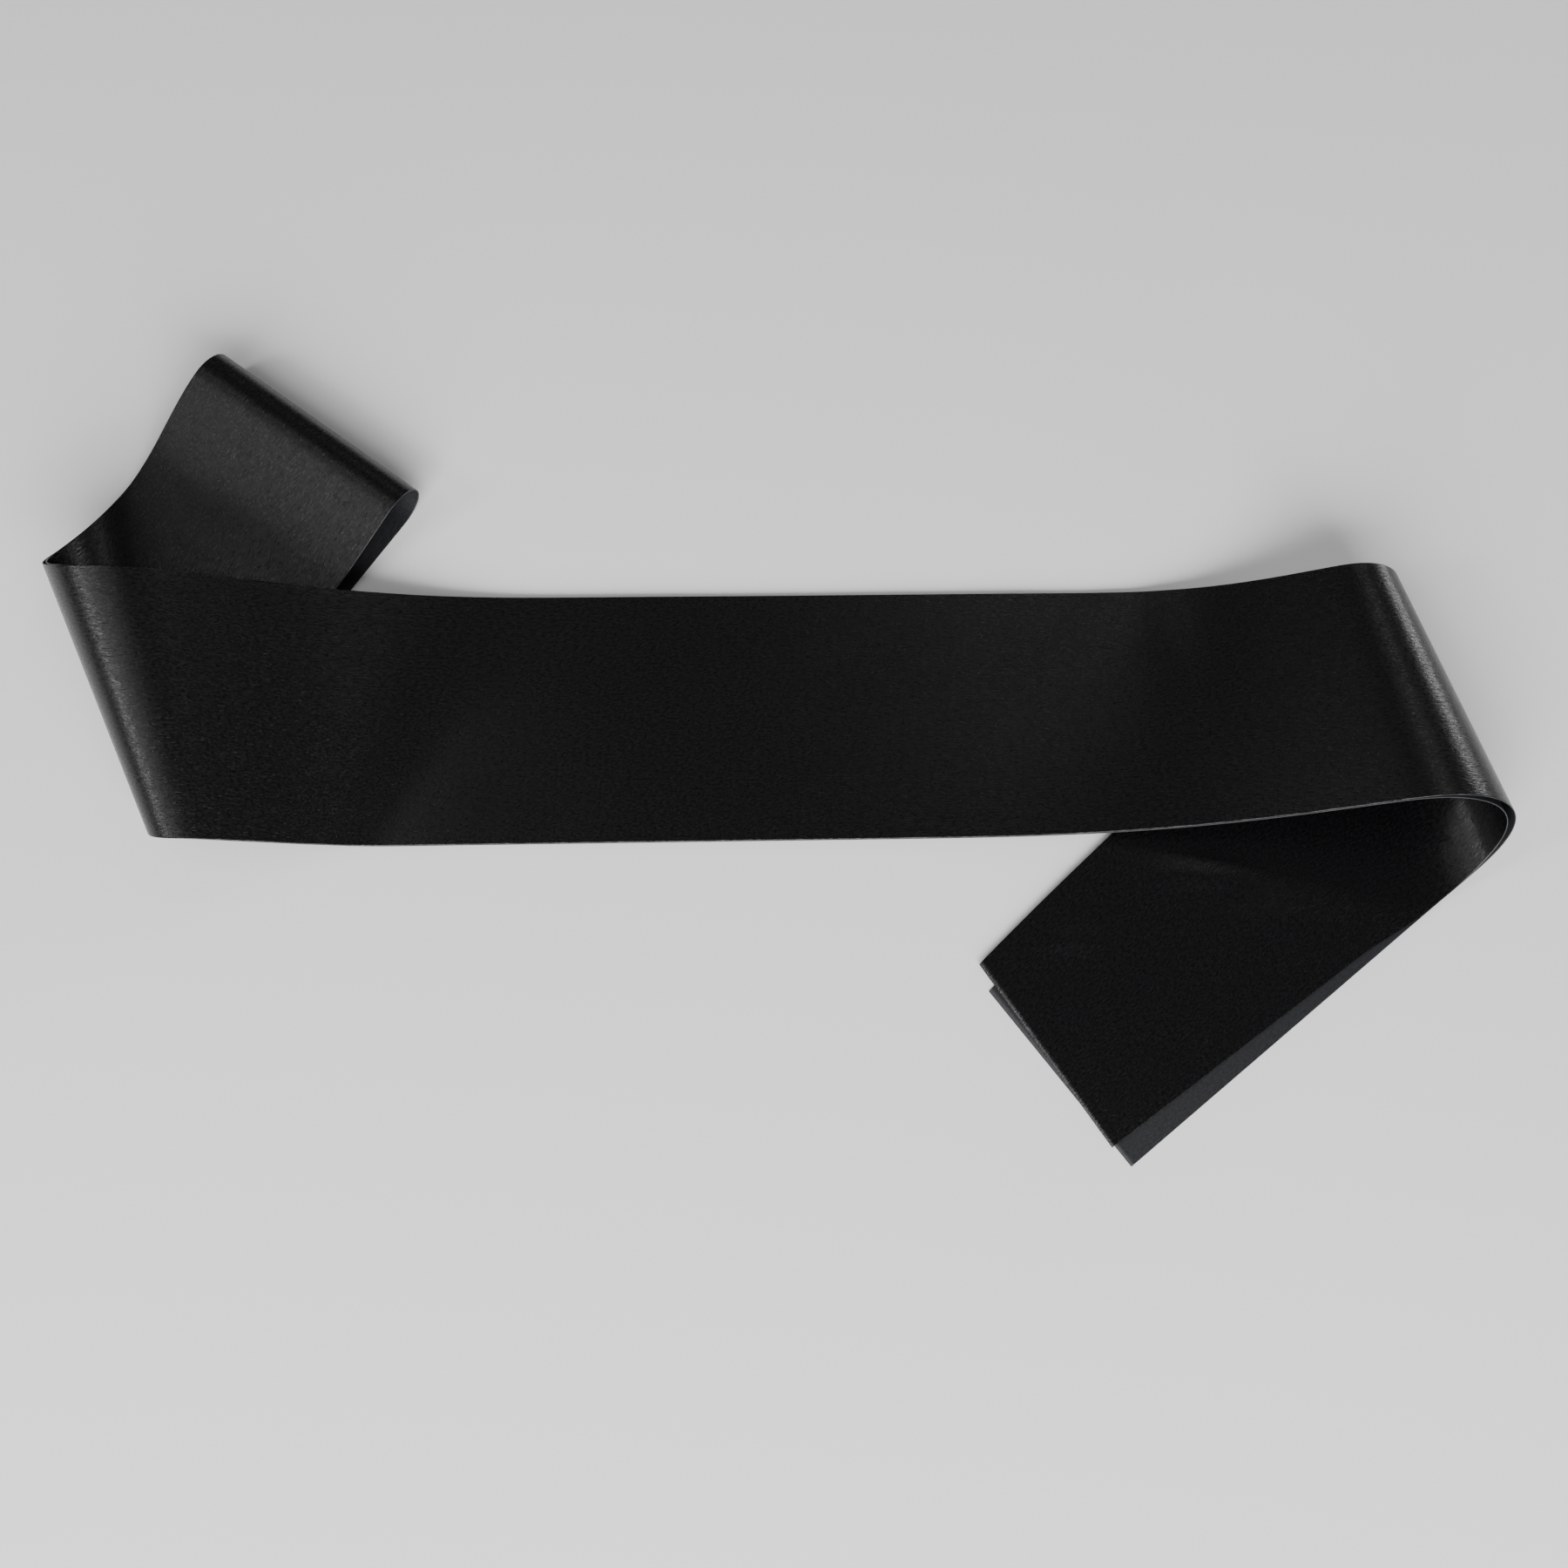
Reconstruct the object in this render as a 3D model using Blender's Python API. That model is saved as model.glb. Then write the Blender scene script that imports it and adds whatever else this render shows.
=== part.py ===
"""Satin sash: one long ribbon, folded in half and laid down in a loose zigzag.

From its folded end the doubled ribbon crosses the back stretch, turns under at the left fold, runs
along the front stretch, turns under again at the right fold and ends in the tail. The outer run of
cloth is worked out flat and bent along straight lines across it, as real cloth bends. The inner run
follows it one layer further in. Each stretch is a wall of cloth in a node of its own.
"""

from collections import namedtuple
from math import pi, radians, sin, tan

import bmesh
import bpy
from mathutils import Matrix, Vector

MM = 0.001

# The ribbon, as cut
RIBBON_WIDTH = 95 * MM
END_WIDTH = 77 * MM
TAPER_START = 330 * MM
TAIL_UNDER_END = 470.5 * MM
TAIL_OVER_END = 467 * MM

# The cloth, as a wall
WALL = 1.0 * MM
GAP = 0.3 * MM
LAYER = WALL + GAP
SEAM = 0.5 * MM

# Each bend of the outer run. Distances are along the ribbon from the middle of the front stretch,
# outwards; lean is how far a bend line slants from square across, with its far end to the right;
# turn bends the ribbon down and under, and a negative turn lifts it.
Bend = namedtuple("Bend", "start end lean_in lean_out turn steps")
RIGHT_BENDS = (
    Bend(start=75, end=210, lean_in=41, lean_out=-6, turn=-25.7, steps=10),
    Bend(start=215, end=302, lean_in=-6, lean_out=-30.4, turn=201.7, steps=18),
)
LEFT_BENDS = (
    Bend(start=108, end=187, lean_in=35.5, lean_out=-13.2, turn=-27.0, steps=10),
    Bend(start=210, end=303, lean_in=-13.2, lean_out=-40.6, turn=202.3, steps=18),
    Bend(start=386.5, end=427, lean_in=-1.1, lean_out=-2.2, turn=202.3, steps=16),
)
BEND_SPREAD = 0.7
TAIL_STEPS = 6

# Where one stretch ends and the next begins, along the outer run
RIGHT_FOLD = (212 * MM, 304 * MM)
LEFT_FOLD = (-305 * MM, -207 * MM)
TOP_FOLD = (-428 * MM, -385 * MM)
INNER_LEFT_START = -296 * MM

# The inner run in the right fold and the tail
FOLD_SLACK = 1.6 * MM
TAIL_SWING = radians(-2.7)
SWING_START = 285 * MM
SWING_END = 330 * MM

# The slack stretch that falls from the top fold into the left fold
FALL_PULL = 1.0
FALL_STEPS = 12
SEAM_SHARE = 0.005

SATIN_COLOUR = (0.012, 0.013, 0.016, 1.0)
SATIN_ROUGHNESS = 0.38

Station = namedtuple("Station", "along near far normal")


def bend_line(along, lean):
    """The two ends of a straight line across the flat ribbon."""
    slant = tan(lean) * RIBBON_WIDTH / 2
    near = Vector((along - slant, -RIBBON_WIDTH / 2, 0))
    far = Vector((along + slant, RIBBON_WIDTH / 2, 0))
    return near, far


def turned(place, near, far, angle):
    """The ribbon's placement once it is turned about a line across it."""
    about = Matrix.Translation(near) @ Matrix.Rotation(angle, 4, far - near)
    return place @ about @ Matrix.Translation(-near)


def station_at(place, along, near, far):
    normal = (place.to_3x3() @ Vector((0, 0, 1))).normalized()
    return Station(along, place @ near, place @ far, normal)


def bent_run(bends, side, end, end_lean):
    """Stations from the middle of the front stretch outwards, to the right (1) or the left (-1)."""
    place = Matrix.Identity(4)
    stations = []
    for bend in bends:
        middles = [(step + 0.5) / bend.steps for step in range(bend.steps)]
        shares = [sin(pi * middle) ** BEND_SPREAD for middle in middles]
        for middle, share in zip(middles, shares):
            along = side * (bend.start + (bend.end - bend.start) * middle) * MM
            lean = radians(bend.lean_in + (bend.lean_out - bend.lean_in) * middle)
            near, far = bend_line(along, lean)
            half_turn = side * radians(bend.turn) * share / sum(shares) / 2
            place = turned(place, near, far, half_turn)
            stations.append(station_at(place, along, near, far))
            place = turned(place, near, far, half_turn)
    last = side * bends[-1].end * MM
    for step in range(1, TAIL_STEPS + 1):
        share = step / TAIL_STEPS
        along = last + (side * end - last) * share
        lean = bends[-1].lean_out * (1 - share) + end_lean * share
        near, far = bend_line(along, radians(lean))
        stations.append(station_at(place, along, near, far))
    return stations


def eased(value, start, end):
    """0 before start and 1 after end, with a smooth step between."""
    share = min(max((value - start) / (end - start), 0), 1)
    return share * share * (3 - 2 * share)


def plane_between(first, second):
    """The height, over the ground, of the flat stretch between two stations."""
    normal = (first.far - first.near).cross(second.near - first.near)

    def height(point):
        offset = point - first.near
        return first.near.z - (offset.x * normal.x + offset.y * normal.y) / normal.z

    return height


def laid_flat(stations, fold, level):
    """Settles a run so that what follows its fold lies level, easing in over the fold's second half."""
    fold_middle = (fold.start + fold.end) / 2 * MM
    fold_end = fold.end * MM
    in_fold = [station for station in stations if abs(station.along) < fold_end]
    height = plane_between(in_fold[-1], stations[len(in_fold)])
    settled = []
    for station in stations:
        share = eased(abs(station.along), fold_middle, abs(in_fold[-1].along))
        near = station.near - Vector((0, 0, share * (height(station.near) - level)))
        far = station.far - Vector((0, 0, share * (height(station.far) - level)))
        settled.append(Station(station.along, near, far, station.normal))
    return settled


def outer_run():
    """The outer run, from the top fold at the left to the end of the tail at the right."""
    level = WALL / 2
    lift = Vector((0, 0, level + LAYER))
    right = bent_run(RIGHT_BENDS, 1, TAIL_UNDER_END, 0)
    left = bent_run(LEFT_BENDS, -1, -TOP_FOLD[0], LEFT_BENDS[-1].lean_out)
    run = []
    for stations, fold in ((left, LEFT_BENDS[1]), (right, RIGHT_BENDS[1])):
        raised = [Station(s.along, s.near + lift, s.far + lift, s.normal) for s in stations]
        run += laid_flat(raised, fold, level)
    run.sort(key=lambda station: station.along)
    return run


def inner_run(outer):
    """The inner run: one layer inside the outer one, looser in the right fold, swung at the tail."""
    pivot = station_between(outer, RIGHT_FOLD[1]).far
    run = []
    for station in outer:
        in_fold = eased(station.along, RIGHT_FOLD[0], RIGHT_FOLD[0] + 30 * MM)
        in_fold *= 1 - eased(station.along, RIGHT_FOLD[1] - 30 * MM, RIGHT_FOLD[1])
        near = station.near - station.normal * (LAYER + FOLD_SLACK * in_fold)
        far = station.far - station.normal * LAYER
        swing = Matrix.Rotation(TAIL_SWING * eased(station.along, SWING_START, SWING_END), 3, "Z")
        near = pivot + swing @ (near - pivot)
        far = pivot + swing @ (far - pivot)
        run.append(Station(station.along, near, far, station.normal))
    return run


def station_between(run, along):
    """A station at any distance along a run, between its neighbours."""
    after = next(index for index, station in enumerate(run) if station.along >= along)
    after = max(after, 1)
    low, high = run[after - 1], run[after]
    share = (along - low.along) / (high.along - low.along)
    near = low.near.lerp(high.near, share)
    far = low.far.lerp(high.far, share)
    normal = low.normal.lerp(high.normal, share).normalized()
    return Station(along, near, far, normal)


def tapered(station):
    """The ribbon narrows from its far edge towards its cut end."""
    share = max((station.along - TAPER_START) / (TAIL_UNDER_END - TAPER_START), 0)
    narrowing = share ** 1.4 * (RIBBON_WIDTH - END_WIDTH) / RIBBON_WIDTH
    far = station.far.lerp(station.near, narrowing)
    return Station(station.along, station.near, far, station.normal)


def stretch(run, start, end):
    """The stations between two distances, less half a seam gap at each end."""
    start += SEAM / 2
    end -= SEAM / 2
    inside = [station for station in run if start < station.along < end]
    ends = station_between(run, start), station_between(run, end)
    return [tapered(station) for station in (ends[0], *inside, ends[1])]


def curve_point(start, start_pull, end, end_pull, share):
    """A point on a smooth curve that leaves and arrives in the given directions."""
    back = 1 - share
    point = start * (back * back * (1 + 2 * share)) + end * (share * share * (3 - 2 * share))
    return point + start_pull * (share * back * back) - end_pull * (share * share * back)


def falling_stretch(outer, inner):
    """The back stretch's upper layer, which falls slack from the top fold into the left fold."""
    start = station_between(outer, TOP_FOLD[0])
    before = station_between(outer, TOP_FOLD[0] + 2 * MM)
    end = station_between(inner, INNER_LEFT_START)
    after = station_between(inner, INNER_LEFT_START + 2 * MM)
    stations = []
    for step in range(FALL_STEPS + 1):
        share = SEAM_SHARE + (1 - 2 * SEAM_SHARE) * step / FALL_STEPS
        edges = []
        for side in ("near", "far"):
            first, last = getattr(start, side), getattr(end, side)
            reach = (last - first).length * FALL_PULL
            leave = (first - getattr(before, side)).normalized() * reach
            arrive = (getattr(after, side) - last).normalized() * reach
            point = curve_point(first, leave, last, arrive, share)
            point.z = max(point.z, WALL / 2 + LAYER)
            edges.append(point)
        stations.append([share, *edges])
    finished = []
    for index, (share, near, far) in enumerate(stations):
        low = stations[max(index - 1, 0)]
        high = stations[min(index + 1, FALL_STEPS)]
        run = (high[1] + high[2]) - (low[1] + low[2])
        normal = (far - near).cross(run).normalized()
        finished.append(Station(share, near, far, normal))
    finished[0] = finished[0]._replace(normal=start.normal)
    finished[-1] = finished[-1]._replace(normal=-end.normal)
    return finished


def satin():
    material = bpy.data.materials.new("satin")
    material.use_nodes = True
    shader = material.node_tree.nodes["Principled BSDF"]
    shader.inputs["Base Color"].default_value = SATIN_COLOUR
    shader.inputs["Roughness"].default_value = SATIN_ROUGHNESS
    shader.inputs["Metallic"].default_value = 0.0
    return material


def cloth(name, stations, material):
    """A closed wall of cloth through the stations, one ring of four points at each."""
    shape = bmesh.new()
    rings = []
    for station in stations:
        half = station.normal * WALL / 2
        corners = (station.near + half, station.far + half, station.far - half, station.near - half)
        rings.append([shape.verts.new(corner) for corner in corners])
    for low, high in zip(rings, rings[1:]):
        for index in range(4):
            after = (index + 1) % 4
            shape.faces.new((low[index], low[after], high[after], high[index]))
    shape.faces.new(rings[0])
    shape.faces.new(rings[-1][::-1])
    bmesh.ops.triangulate(shape, faces=shape.faces[:])
    bmesh.ops.recalc_face_normals(shape, faces=shape.faces[:])
    mesh = bpy.data.meshes.new(name)
    shape.to_mesh(mesh)
    shape.free()
    mesh.materials.append(material)
    piece = bpy.data.objects.new(name, mesh)
    bpy.context.scene.collection.objects.link(piece)
    return piece


def stand_on_origin(pieces):
    """Moves the sash so that the origin is at the middle of its underside."""
    points = [vertex.co for piece in pieces for vertex in piece.data.vertices]
    low = Vector([min(point[axis] for point in points) for axis in range(3)])
    high = Vector([max(point[axis] for point in points) for axis in range(3)])
    middle = (low + high) / 2
    for piece in pieces:
        piece.location = (-middle.x, -middle.y, -low.z)


def build():
    for existing in list(bpy.data.objects):
        bpy.data.objects.remove(existing)
    outer = outer_run()
    inner = inner_run(outer)
    material = satin()
    pieces = [
        cloth("front_over", stretch(outer, LEFT_FOLD[1], RIGHT_FOLD[0]), material),
        cloth("right_fold_outer", stretch(outer, *RIGHT_FOLD), material),
        cloth("tail_under", stretch(outer, RIGHT_FOLD[1], TAIL_UNDER_END), material),
        cloth("left_fold_outer", stretch(outer, *LEFT_FOLD), material),
        cloth("back_under", stretch(outer, TOP_FOLD[1], LEFT_FOLD[0]), material),
        cloth("top_fold", stretch(outer, *TOP_FOLD), material),
        cloth("back_over", falling_stretch(outer, inner), material),
        cloth("left_fold_inner", stretch(inner, INNER_LEFT_START, LEFT_FOLD[1]), material),
        cloth("front_under", stretch(inner, LEFT_FOLD[1], RIGHT_FOLD[0]), material),
        cloth("right_fold_inner", stretch(inner, *RIGHT_FOLD), material),
        cloth("tail_over", stretch(inner, RIGHT_FOLD[1], TAIL_OVER_END), material),
    ]
    stand_on_origin(pieces)


build()
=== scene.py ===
"""Satin sash: the finished ribbon, its light and its camera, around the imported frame."""

from collections import namedtuple
from math import cos, exp, pi, radians, sin, tan

import bmesh
import bpy
from mathutils import Matrix, Vector, noise


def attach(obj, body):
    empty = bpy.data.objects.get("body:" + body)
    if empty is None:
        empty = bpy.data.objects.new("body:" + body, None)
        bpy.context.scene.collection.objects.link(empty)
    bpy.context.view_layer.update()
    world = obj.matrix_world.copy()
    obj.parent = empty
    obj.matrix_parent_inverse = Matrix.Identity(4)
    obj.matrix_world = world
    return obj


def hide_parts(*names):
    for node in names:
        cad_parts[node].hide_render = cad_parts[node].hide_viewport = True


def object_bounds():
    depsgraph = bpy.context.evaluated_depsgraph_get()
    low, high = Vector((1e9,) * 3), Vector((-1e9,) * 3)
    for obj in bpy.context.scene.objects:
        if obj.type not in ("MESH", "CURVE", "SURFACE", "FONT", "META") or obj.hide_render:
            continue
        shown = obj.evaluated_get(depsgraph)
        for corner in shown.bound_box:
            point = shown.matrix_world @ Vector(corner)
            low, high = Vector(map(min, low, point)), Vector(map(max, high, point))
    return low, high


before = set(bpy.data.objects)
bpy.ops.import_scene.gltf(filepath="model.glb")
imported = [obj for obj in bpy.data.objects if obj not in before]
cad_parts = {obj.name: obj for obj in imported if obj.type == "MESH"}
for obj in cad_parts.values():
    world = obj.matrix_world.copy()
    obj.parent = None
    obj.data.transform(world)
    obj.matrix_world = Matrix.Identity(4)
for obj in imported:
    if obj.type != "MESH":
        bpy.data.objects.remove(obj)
cad_low, cad_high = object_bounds()

MM = 0.001

# The ribbon, as cut
RIBBON_WIDTH = 95 * MM
END_WIDTH = 77 * MM
TAPER_START = 330 * MM
TAPER_POWER = 1.4
TAIL_UNDER_END = 470.5 * MM
TAIL_OVER_END = 467 * MM

# The frame's walls, which the thin cloth follows, and the cloth
WALL = 1.0 * MM
GAP = 0.3 * MM
LAYER = WALL + GAP
CLOTH = 0.32 * MM

# Each bend of the outer run, as in the frame: distances are along the ribbon from the middle of the
# front stretch, outwards; lean is how far a bend line slants from square across; turn bends the
# ribbon down and under, and a negative turn lifts it
Bend = namedtuple("Bend", "start end lean_in lean_out turn steps")
RIGHT_BENDS = (
    Bend(start=75, end=210, lean_in=41, lean_out=-6, turn=-25.7, steps=60),
    Bend(start=215, end=302, lean_in=-6, lean_out=-30.4, turn=201.7, steps=72),
)
LEFT_BENDS = (
    Bend(start=108, end=187, lean_in=35.5, lean_out=-13.2, turn=-27.0, steps=50),
    Bend(start=210, end=303, lean_in=-13.2, lean_out=-40.6, turn=202.3, steps=72),
    Bend(start=386.5, end=427, lean_in=-1.1, lean_out=-2.2, turn=202.3, steps=50),
)
BEND_SPREAD = 0.7
TAIL_STEPS = 60

# Where the folds start and end along the ribbon, from the middle of the front stretch
RIGHT_FOLD = (212 * MM, 304 * MM)
TOP_FOLD = (-428 * MM, -385 * MM)
INNER_LEFT_START = -296 * MM

# The inner run is looser in the right fold, and its tail is swung about the fold
FOLD_SLACK = 1.6 * MM
SLACK_EASE = 30 * MM
TAIL_SWING = radians(-2.7)
SWING_START = 285 * MM
SWING_END = 330 * MM

# The slack stretch that falls from the top fold: how strongly it follows its two ends' directions,
# which are taken over a short look-back
FALL_PULL = 1.0
FALL_STEPS = 90
LOOK_BACK = 2 * MM

# The mesh: rows along the ribbon, and columns across it that are finer at its two edges (mm)
ROW_PITCH = 2.0 * MM
EDGE_COLUMNS = (0.0, 0.35, 0.8, 1.5)
INNER_COLUMNS = 44

# Soft creases: along the ribbon from its lower cut end and as a share across it,
# then the crease line's slant from along the ribbon (degrees) and its size (mm); a positive height
# stands out from the satin face
Crease = namedtuple("Crease", "along across slant length width height")
CREASES = (
    Crease(along=1661, across=0.62, slant=38, length=22, width=4.5, height=0.95),
    Crease(along=1715, across=0.79, slant=42, length=14, width=4.0, height=0.6),
    Crease(along=1640, across=0.30, slant=30, length=26, width=6.0, height=0.45),
    Crease(along=940, across=0.50, slant=70, length=30, width=9.0, height=0.6),
    Crease(along=975, across=0.35, slant=100, length=24, width=8.0, height=-0.5),
    Crease(along=330, across=0.75, slant=60, length=40, width=10.0, height=0.35),
    Crease(along=610, across=0.30, slant=110, length=40, width=12.0, height=0.35),
    Crease(along=80, across=0.50, slant=35, length=30, width=7.0, height=-0.3),
    Crease(along=815, across=0.45, slant=65, length=28, width=8.0, height=-0.3),
    Crease(along=1300, across=0.60, slant=70, length=40, width=9.0, height=-0.3),
)

# The free upper stretches, which lie slightly uneven: where each starts and ends along the ribbon
FREE_STRETCHES = ((270, 670), (905, 985), (1590, 1760))
UNEVEN_HEIGHT = 0.25 * MM
UNEVEN_PITCH = 34 * MM
UNEVEN_EASE = 30 * MM

# The satin's grain and its threads, along and across the ribbon (mm), and the noise values that
# stand for the darkest and the lightest grain
GRAIN_SIZE = (1.5, 0.8)
THREAD_SIZE = (3.0, 0.35)
GRAIN_RANGE = (0.3, 0.7)

# The floor, and the grey of the studio around it
FLOOR_REACH = 3.0
STUDIO_STRENGTH = 0.11

# The camera looks down at the sash, turned and rolled a little, at the photo's angle
CAMERA_TURN = radians(-7.31)
CAMERA_RISE = radians(73.21)
CAMERA_ROLL = radians(6.34)
CAMERA_REACH = 625 * MM
CAMERA_LENS = 38.5
CAMERA_SENSOR = 36
CAMERA_SHIFT = (0.003, -0.044)

# Each soft light: its direction from the sash (degrees), its size (m) and its power (W)
SOFTBOX_REACH = 1.6
Softbox = namedtuple("Softbox", "name azimuth elevation width height power")
SOFTBOXES = (
    Softbox("left_key", azimuth=-167, elevation=29, width=0.24, height=0.3, power=4.2),
    Softbox("left_fill", azimuth=184, elevation=50, width=0.3, height=0.4, power=2.0),
    Softbox("top_key", azimuth=156, elevation=64, width=0.14, height=0.14, power=0.9),
    Softbox("right_key", azimuth=36, elevation=13, width=0.26, height=0.25, power=5.0),
    Softbox("back_fill", azimuth=66, elevation=52, width=0.2, height=0.2, power=1.0),
    Softbox("front_low", azimuth=-90, elevation=27, width=2.2, height=1.2, power=75),
)

# A point's place along the ribbon, its two edge points and the direction of its satin face
Station = namedtuple("Station", "along near far normal")


def bend_line(along, lean):
    """The two ends of a straight line across the flat ribbon."""
    slant = tan(lean) * RIBBON_WIDTH / 2
    near = Vector((along - slant, -RIBBON_WIDTH / 2, 0))
    far = Vector((along + slant, RIBBON_WIDTH / 2, 0))
    return near, far


def turned(place, near, far, angle):
    """The ribbon's placement once it is turned about a line across it."""
    about = Matrix.Translation(near) @ Matrix.Rotation(angle, 4, far - near)
    return place @ about @ Matrix.Translation(-near)


def station_at(place, along, near, far):
    normal = (place.to_3x3() @ Vector((0, 0, 1))).normalized()
    return Station(along, place @ near, place @ far, normal)


def bent_run(bends, side, end, end_lean):
    """Stations from the middle of the front stretch outwards, to the right (1) or the left (-1)."""
    place = Matrix.Identity(4)
    stations = []
    for bend in bends:
        middles = [(step + 0.5) / bend.steps for step in range(bend.steps)]
        shares = [sin(pi * middle) ** BEND_SPREAD for middle in middles]
        for middle, share in zip(middles, shares):
            along = side * (bend.start + (bend.end - bend.start) * middle) * MM
            lean = radians(bend.lean_in + (bend.lean_out - bend.lean_in) * middle)
            near, far = bend_line(along, lean)
            half_turn = side * radians(bend.turn) * share / sum(shares) / 2
            place = turned(place, near, far, half_turn)
            stations.append(station_at(place, along, near, far))
            place = turned(place, near, far, half_turn)
    last = side * bends[-1].end * MM
    for step in range(1, TAIL_STEPS + 1):
        share = step / TAIL_STEPS
        along = last + (side * end - last) * share
        lean = bends[-1].lean_out * (1 - share) + end_lean * share
        near, far = bend_line(along, radians(lean))
        stations.append(station_at(place, along, near, far))
    return stations


def eased(value, start, end):
    """0 before start and 1 after end, with a smooth step between."""
    share = min(max((value - start) / (end - start), 0), 1)
    return share * share * (3 - 2 * share)


def plane_between(first, second):
    """The height, over the ground, of the flat stretch between two stations."""
    normal = (first.far - first.near).cross(second.near - first.near)

    def height(point):
        offset = point - first.near
        return first.near.z - (offset.x * normal.x + offset.y * normal.y) / normal.z

    return height


def laid_flat(stations, fold, level):
    """Settles a run so that what follows its fold lies level, easing in over the fold's second half."""
    fold_middle = (fold.start + fold.end) / 2 * MM
    fold_end = fold.end * MM
    in_fold = [station for station in stations if abs(station.along) < fold_end]
    height = plane_between(in_fold[-1], stations[len(in_fold)])
    settled = []
    for station in stations:
        share = eased(abs(station.along), fold_middle, abs(in_fold[-1].along))
        near = station.near - Vector((0, 0, share * (height(station.near) - level)))
        far = station.far - Vector((0, 0, share * (height(station.far) - level)))
        settled.append(Station(station.along, near, far, station.normal))
    return settled


def outer_run():
    """The outer run, from the top fold at the left to the end of the tail at the right."""
    level = WALL / 2
    lift = Vector((0, 0, level + LAYER))
    right = bent_run(RIGHT_BENDS, 1, TAIL_UNDER_END, 0)
    left = bent_run(LEFT_BENDS, -1, -TOP_FOLD[0], LEFT_BENDS[-1].lean_out)
    run = []
    for stations, fold in ((left, LEFT_BENDS[1]), (right, RIGHT_BENDS[1])):
        raised = [Station(s.along, s.near + lift, s.far + lift, s.normal) for s in stations]
        run += laid_flat(raised, fold, level)
    run.sort(key=lambda station: station.along)
    return run


def station_between(run, along):
    """A station at any distance along a run, between its neighbours."""
    after = next(index for index, station in enumerate(run) if station.along >= along)
    after = max(after, 1)
    low, high = run[after - 1], run[after]
    share = (along - low.along) / (high.along - low.along)
    near = low.near.lerp(high.near, share)
    far = low.far.lerp(high.far, share)
    normal = low.normal.lerp(high.normal, share).normalized()
    return Station(along, near, far, normal)


def inner_run(outer):
    """The inner run: one layer inside the outer one, looser in the right fold, swung at the tail."""
    pivot = station_between(outer, RIGHT_FOLD[1]).far
    run = []
    for station in outer:
        in_fold = eased(station.along, RIGHT_FOLD[0], RIGHT_FOLD[0] + SLACK_EASE)
        in_fold *= 1 - eased(station.along, RIGHT_FOLD[1] - SLACK_EASE, RIGHT_FOLD[1])
        near = station.near - station.normal * (LAYER + FOLD_SLACK * in_fold)
        far = station.far - station.normal * LAYER
        swing = Matrix.Rotation(TAIL_SWING * eased(station.along, SWING_START, SWING_END), 3, "Z")
        near = pivot + swing @ (near - pivot)
        far = pivot + swing @ (far - pivot)
        run.append(Station(station.along, near, far, station.normal))
    return run


def tapered(station):
    """The ribbon narrows from its far edge towards its cut end."""
    share = max((station.along - TAPER_START) / (TAIL_UNDER_END - TAPER_START), 0)
    narrowing = share ** TAPER_POWER * (RIBBON_WIDTH - END_WIDTH) / RIBBON_WIDTH
    far = station.far.lerp(station.near, narrowing)
    return Station(station.along, station.near, far, station.normal)


def curve_point(start, start_pull, end, end_pull, share):
    """A point on a smooth curve that leaves and arrives in the given directions."""
    back = 1 - share
    point = start * (back * back * (1 + 2 * share)) + end * (share * share * (3 - 2 * share))
    return point + start_pull * (share * back * back) - end_pull * (share * share * back)


def falling_stretch(outer, inner):
    """The back stretch's upper layer, which falls slack from the top fold into the left fold."""
    start = station_between(outer, TOP_FOLD[0])
    before = station_between(outer, TOP_FOLD[0] + LOOK_BACK)
    end = station_between(inner, INNER_LEFT_START)
    after = station_between(inner, INNER_LEFT_START + LOOK_BACK)
    stations = []
    for step in range(FALL_STEPS + 1):
        share = step / FALL_STEPS
        edges = []
        for side in ("near", "far"):
            first, last = getattr(start, side), getattr(end, side)
            reach = (last - first).length * FALL_PULL
            leave = (first - getattr(before, side)).normalized() * reach
            arrive = (getattr(after, side) - last).normalized() * reach
            point = curve_point(first, leave, last, arrive, share)
            point.z = max(point.z, WALL / 2 + LAYER)
            edges.append(point)
        stations.append([share, *edges])
    finished = []
    for index, (share, near, far) in enumerate(stations):
        low = stations[max(index - 1, 0)]
        high = stations[min(index + 1, FALL_STEPS)]
        run = (high[1] + high[2]) - (low[1] + low[2])
        normal = (far - near).cross(run).normalized()
        finished.append(Station(share, near, far, normal))
    finished[0] = finished[0]._replace(normal=start.normal)
    finished[-1] = finished[-1]._replace(normal=-end.normal)
    return finished


def whole_ribbon():
    """The ribbon from its lower cut end to its upper one, as stations with the satin face outwards."""
    outer = outer_run()
    inner = inner_run(outer)
    fall = falling_stretch(outer, inner)
    path = [tapered(s) for s in reversed(outer)]
    path += fall[1:-1]
    turned_over = [s._replace(normal=-s.normal) for s in inner if s.along >= INNER_LEFT_START]
    path += [tapered(s) for s in turned_over if s.along < TAIL_OVER_END]
    path.append(tapered(station_between(turned_over, TAIL_OVER_END)))
    return path


def placed(path):
    """Moves the stations to where the frame's walls are, and settles the thin cloth on the ground."""
    corners = []
    for station in path:
        half = station.normal * WALL / 2
        corners += [station.near + half, station.near - half]
        corners += [station.far + half, station.far - half]
    low = Vector([min(corner[axis] for corner in corners) for axis in range(3)])
    high = Vector([max(corner[axis] for corner in corners) for axis in range(3)])
    shift = (cad_low + cad_high) / 2 - (low + high) / 2
    shift.z = cad_low.z - low.z
    settle = Vector((0, 0, -(WALL - CLOTH) / 2))
    return [s._replace(near=s.near + shift + settle, far=s.far + shift + settle) for s in path], shift


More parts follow.
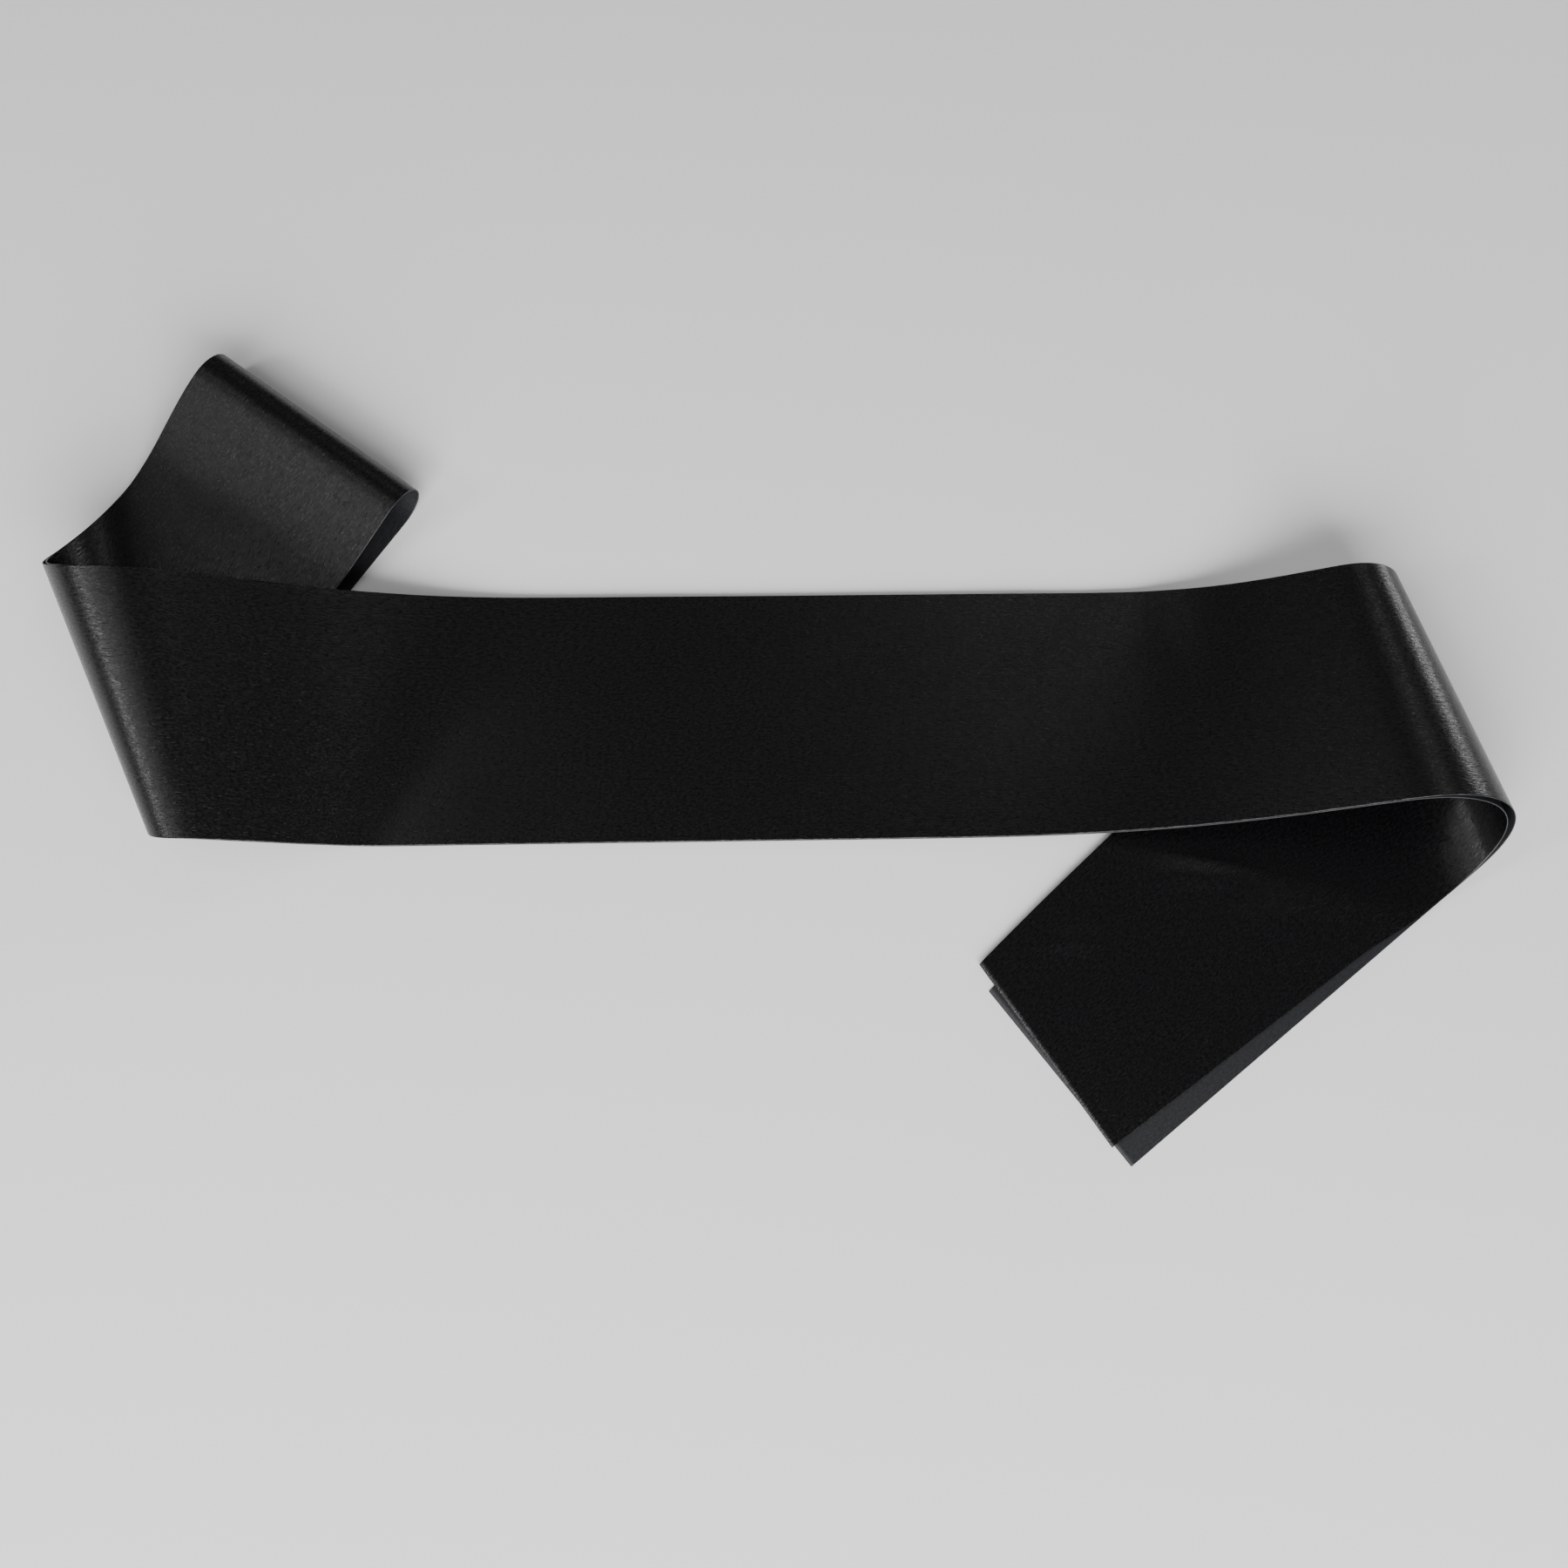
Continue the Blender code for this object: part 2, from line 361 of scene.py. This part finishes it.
def spaced(path):
    """Even rows along the ribbon, with the distance along its middle from the lower cut end."""
    distances = [0.0]
    for low, high in zip(path, path[1:]):
        step = (high.near + high.far - low.near - low.far).length / 2
        distances.append(distances[-1] + step)
    count = round(distances[-1] / ROW_PITCH)
    rows = []
    index = 0
    for row in range(count + 1):
        target = distances[-1] * row / count
        while index < len(path) - 2 and distances[index + 1] < target:
            index += 1
        width = distances[index + 1] - distances[index]
        share = min(max((target - distances[index]) / width, 0), 1) if width > 0 else 0
        low, high = path[index], path[index + 1]
        rows.append(
            Station(
                target,
                low.near.lerp(high.near, share),
                low.far.lerp(high.far, share),
                low.normal.lerp(high.normal, share).normalized(),
            )
        )
    return rows


def column_shares():
    """Where the mesh's columns lie across the ribbon, from 0 at the near edge to 1 at the far edge."""
    edge = [column * MM / RIBBON_WIDTH for column in EDGE_COLUMNS]
    first, last = edge[-1], 1 - edge[-1]
    middle = [first + (last - first) * step / INNER_COLUMNS for step in range(1, INNER_COLUMNS)]
    return [*edge, *middle, *(1 - share for share in reversed(edge))]


def crease_height(along, share):
    """How far the listed creases lift the cloth at a place on the ribbon."""
    height = 0.0
    for crease in CREASES:
        ahead = along / MM - crease.along
        aside = (share - crease.across) * RIBBON_WIDTH / MM
        slant = radians(crease.slant)
        on_line = (ahead * cos(slant) + aside * sin(slant)) / crease.length
        off_line = (aside * cos(slant) - ahead * sin(slant)) / crease.width
        height += crease.height * MM * exp(-on_line * on_line - off_line * off_line)
    return height


def uneven_height(along, share):
    """The slight unevenness of the free upper stretches."""
    free = 0.0
    for start, end in FREE_STRETCHES:
        rise = eased(along, start * MM, start * MM + UNEVEN_EASE)
        free += rise * (1 - eased(along, end * MM - UNEVEN_EASE, end * MM))
    place = Vector((along, share * RIBBON_WIDTH, 0)) / UNEVEN_PITCH
    return free * UNEVEN_HEIGHT * noise.noise(place)


def ribbon_mesh(rows):
    """A thin closed shell: the satin face, the wrong side, and the four edges."""
    shares = column_shares()
    shape = bmesh.new()
    across = len(shares)
    uv_layer = shape.loops.layers.uv.new("ribbon")
    faces_up, faces_down = [], []
    flat_place = {}
    for row in rows:
        up, down = [], []
        for share in shares:
            lift = crease_height(row.along, share) + uneven_height(row.along, share)
            middle = row.near.lerp(row.far, share) + row.normal * lift
            for line, side in ((up, 1), (down, -1)):
                vertex = shape.verts.new(middle + row.normal * (side * CLOTH / 2))
                flat_place[vertex] = (row.along, share * RIBBON_WIDTH)
                line.append(vertex)
        faces_up.append(up)
        faces_down.append(down)

    def quad(a, b, c, d, material):
        face = shape.faces.new((a, b, c, d))
        face.material_index = material
        face.smooth = True
        for loop in face.loops:
            loop[uv_layer].uv = flat_place[loop.vert]

    for low in range(len(rows) - 1):
        high = low + 1
        for column in range(across - 1):
            after = column + 1
            up_low, up_high = faces_up[low], faces_up[high]
            down_low, down_high = faces_down[low], faces_down[high]
            quad(up_low[column], up_low[after], up_high[after], up_high[column], 0)
            quad(down_low[after], down_low[column], down_high[column], down_high[after], 1)
        # The long edges and cut ends take the edge material, whose lighter colour is partly a painted
        # highlight
        quad(faces_up[low][0], faces_up[high][0], faces_down[high][0], faces_down[low][0], 2)
        quad(faces_up[high][-1], faces_up[low][-1], faces_down[low][-1], faces_down[high][-1], 2)
    for end, order in ((0, 1), (-1, -1)):
        for column in range(across - 1):
            corners = (
                faces_up[end][column + 1],
                faces_up[end][column],
                faces_down[end][column],
                faces_down[end][column + 1],
            )
            quad(*corners[::order], 2)
    mesh = bpy.data.meshes.new("satin_ribbon")
    bmesh.ops.recalc_face_normals(shape, faces=shape.faces[:])
    shape.to_mesh(mesh)
    shape.free()
    return mesh


def linked(name, data):
    made = bpy.data.objects.new(name, data)
    bpy.context.scene.collection.objects.link(made)
    return made


class Nodes:
    """A short way to add and join a material's nodes."""

    def __init__(self, name):
        self.material = bpy.data.materials.new(name)
        self.material.use_nodes = True
        self.tree = self.material.node_tree
        self.shader = self.tree.nodes["Principled BSDF"]

    def add(self, kind, inputs=(), **settings):
        node = self.tree.nodes.new("ShaderNode" + kind)
        for setting, value in settings.items():
            setattr(node, setting, value)
        for socket, value in dict(inputs).items():
            if isinstance(value, bpy.types.NodeSocket):
                self.tree.links.new(value, node.inputs[socket])
            else:
                node.inputs[socket].default_value = value
        return node

    def flat_place(self, stretch_along, stretch_across):
        """Where a point is on the flat ribbon, in millimetres, squeezed along or across."""
        place = self.add("UVMap", uv_map="ribbon").outputs["UV"]
        scale = (1 / MM / stretch_along, 1 / MM / stretch_across, 1)
        return self.add("Mapping", {"Vector": place, "Scale": scale}).outputs["Vector"]

    def noise(self, place, scale, detail=2.0, roughness=0.5):
        inputs = {"Vector": place, "Scale": scale, "Detail": detail, "Roughness": roughness}
        return self.add("TexNoise", inputs).outputs["Fac"]

    def ranged(self, value, from_low, from_high, to_low, to_high):
        inputs = {
            "Value": value,
            "From Min": from_low,
            "From Max": from_high,
            "To Min": to_low,
            "To Max": to_high,
        }
        return self.add("MapRange", inputs).outputs["Result"]

    def mixed(self, share, first, second):
        inputs = {"Factor": share, "A": first, "B": second}
        node = self.add("Mix", data_type="RGBA")
        for socket, index in (("Factor", 0), ("A", 6), ("B", 7)):
            value = inputs[socket]
            if isinstance(value, bpy.types.NodeSocket):
                self.tree.links.new(value, node.inputs[index])
            else:
                node.inputs[index].default_value = value
        return node.outputs[2]

    def into(self, **sockets):
        for socket, value in sockets.items():
            target = self.shader.inputs[socket.replace("_", " ")]
            if isinstance(value, bpy.types.NodeSocket):
                self.tree.links.new(value, target)
            else:
                target.default_value = value


def satin(name, dark, light, gloss, dull, shine, grain_height):
    """Satin seen as a fine grain of threads: colour, gloss and bump all vary thread by thread."""
    nodes = Nodes(name)
    grain = nodes.noise(nodes.flat_place(*GRAIN_SIZE), 1.0, detail=3.0, roughness=0.65)
    threads = nodes.noise(nodes.flat_place(*THREAD_SIZE), 1.0, detail=1.0)
    colour_share = nodes.ranged(grain, *GRAIN_RANGE, 0, 1)
    roughness = nodes.ranged(grain, *GRAIN_RANGE, gloss, dull)
    height = nodes.add("Math", {0: grain, 1: threads}, operation="ADD").outputs[0]
    bump = nodes.add("Bump", {"Height": height, "Strength": 1.0, "Distance": grain_height})
    nodes.into(
        Base_Color=nodes.mixed(colour_share, dark, light),
        Roughness=roughness,
        Normal=bump.outputs["Normal"],
        Specular_IOR_Level=shine,
    )
    return nodes.material


def satin_face():
    return satin(
        "satin_face",
        dark=(0.0008, 0.0009, 0.0011, 1),
        light=(0.0034, 0.0036, 0.0042, 1),
        gloss=0.20,
        dull=0.38,
        shine=0.42,
        grain_height=0.11 * MM,
    )


def satin_back():
    return satin(
        "satin_back",
        dark=(0.010, 0.0105, 0.012, 1),
        light=(0.020, 0.021, 0.0245, 1),
        gloss=0.45,
        dull=0.6,
        shine=0.4,
        grain_height=0.05 * MM,
    )


# The edges and cut ends: a lighter colour, partly the woven selvedge and partly a painted highlight for
# the lit edge line
def selvedge_and_painted_highlight():
    return satin(
        "selvedge_and_painted_highlight",
        dark=(0.012, 0.013, 0.014, 1),
        light=(0.03, 0.032, 0.034, 1),
        gloss=0.4,
        dull=0.5,
        shine=0.5,
        grain_height=0.02 * MM,
    )


def floor_material():
    nodes = Nodes("floor")
    nodes.into(Base_Color=(0.92, 0.92, 0.92, 1), Roughness=0.85)
    return nodes.material


def add_softbox(box, aim):
    """A rectangular light that faces the sash from one direction."""
    turn, rise = radians(box.azimuth), radians(box.elevation)
    outward = Vector((cos(turn) * cos(rise), sin(turn) * cos(rise), sin(rise)))
    light = bpy.data.lights.new(box.name, "AREA")
    light.shape = "RECTANGLE"
    light.size = box.width
    light.size_y = box.height
    light.energy = box.power
    lamp = linked(box.name, light)
    lamp.location = aim + outward * SOFTBOX_REACH
    lamp.rotation_mode = "QUATERNION"
    lamp.rotation_quaternion = outward.to_track_quat("Z", "Y")


def add_studio():
    """The soft, even surroundings."""
    world = bpy.data.worlds.new("studio")
    world.use_nodes = True
    background = world.node_tree.nodes["Background"]
    background.inputs["Color"].default_value = (1, 1, 1, 1)
    background.inputs["Strength"].default_value = STUDIO_STRENGTH
    bpy.context.scene.world = world


def add_floor():
    """A wide square at the height that the sash lies on."""
    mesh = bpy.data.meshes.new("floor")
    corners = [(x * FLOOR_REACH, y * FLOOR_REACH, 0) for x, y in ((-1, -1), (1, -1), (1, 1), (-1, 1))]
    mesh.from_pydata(corners, [], [(0, 1, 2, 3)])
    mesh.materials.append(floor_material())
    return linked("floor", mesh)


def add_camera(aim):
    """The camera, at the photo's angle to the sash."""
    side, rise = sin(CAMERA_TURN), sin(CAMERA_RISE)
    ahead, level = cos(CAMERA_TURN), cos(CAMERA_RISE)
    back = Vector((side * level, -ahead * level, rise))
    level_right = Vector((ahead, side, 0))
    level_up = back.cross(level_right)
    right = level_right * cos(CAMERA_ROLL) + level_up * sin(CAMERA_ROLL)
    up = level_up * cos(CAMERA_ROLL) - level_right * sin(CAMERA_ROLL)
    data = bpy.data.cameras.new("camera")
    data.lens = CAMERA_LENS
    data.sensor_width = CAMERA_SENSOR
    data.shift_x, data.shift_y = CAMERA_SHIFT
    camera = linked("camera", data)
    facing = Matrix((right, up, back)).transposed().to_4x4()
    camera.matrix_world = Matrix.Translation(aim + back * CAMERA_REACH) @ facing
    bpy.context.scene.camera = camera


# The ribbon
path, shift = placed(whole_ribbon())
rows = spaced(path)
ribbon = linked("satin_ribbon", ribbon_mesh(rows))
for material in (satin_face(), satin_back(), selvedge_and_painted_highlight()):
    ribbon.data.materials.append(material)
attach(ribbon, "root")
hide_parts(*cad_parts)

# The floor, camera and lights
floor = add_floor()
add_camera(shift + Vector((0, 0, WALL / 2 + LAYER)))
add_studio()
for box in SOFTBOXES:
    add_softbox(box, shift)
